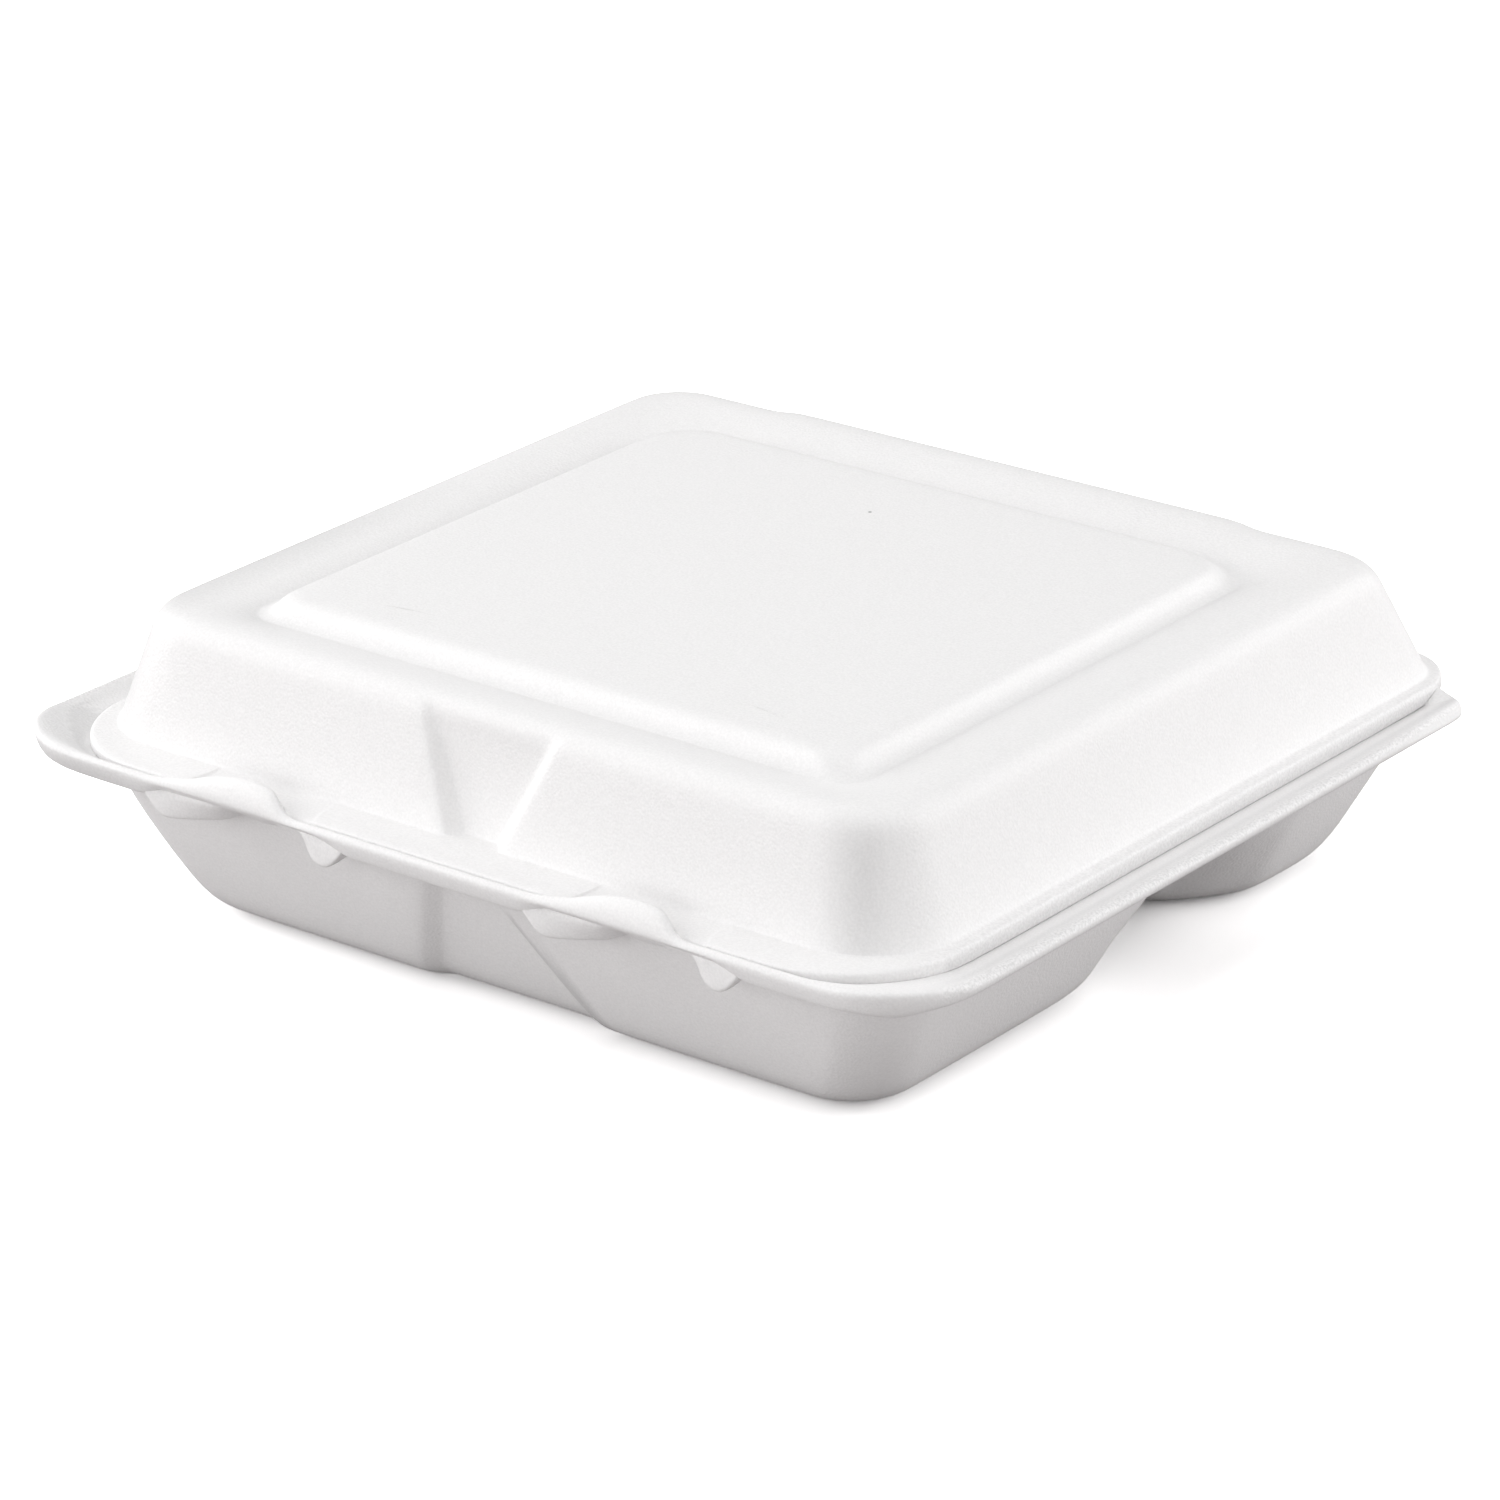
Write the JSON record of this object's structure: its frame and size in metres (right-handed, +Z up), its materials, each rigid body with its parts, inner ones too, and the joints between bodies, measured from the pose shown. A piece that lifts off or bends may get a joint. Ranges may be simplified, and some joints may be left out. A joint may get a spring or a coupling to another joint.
{
  "type": "foam hinged lid container",
  "caption": "White foam takeaway container: a wide tray with divided compartments and a raised lid on a back hinge, which locks over tongues on the front rim.",
  "frame": {"origin": "on the floor, below the middle of the container's width and depth", "axes": "+X to the right along the front, +Y back to the hinge, +Z up"},
  "size_m": [0.203, 0.1788, 0.0584],
  "materials": {
    "foam": "white closed-cell foam sheet with a fine grain and a soft satin skin"
  },
  "bodies": {
    "tray": {"base_tray": "foam"},
    "cover": {"lid": "foam"}
  },
  "joints": [
    {"name": "lid_hinge", "type": "hinge", "parent": "tray", "child": "cover", "pos_m": [0, 0.08965, 0.03275], "axis": [-1, 0, 0], "range_deg": [0, 180]}
  ]
}
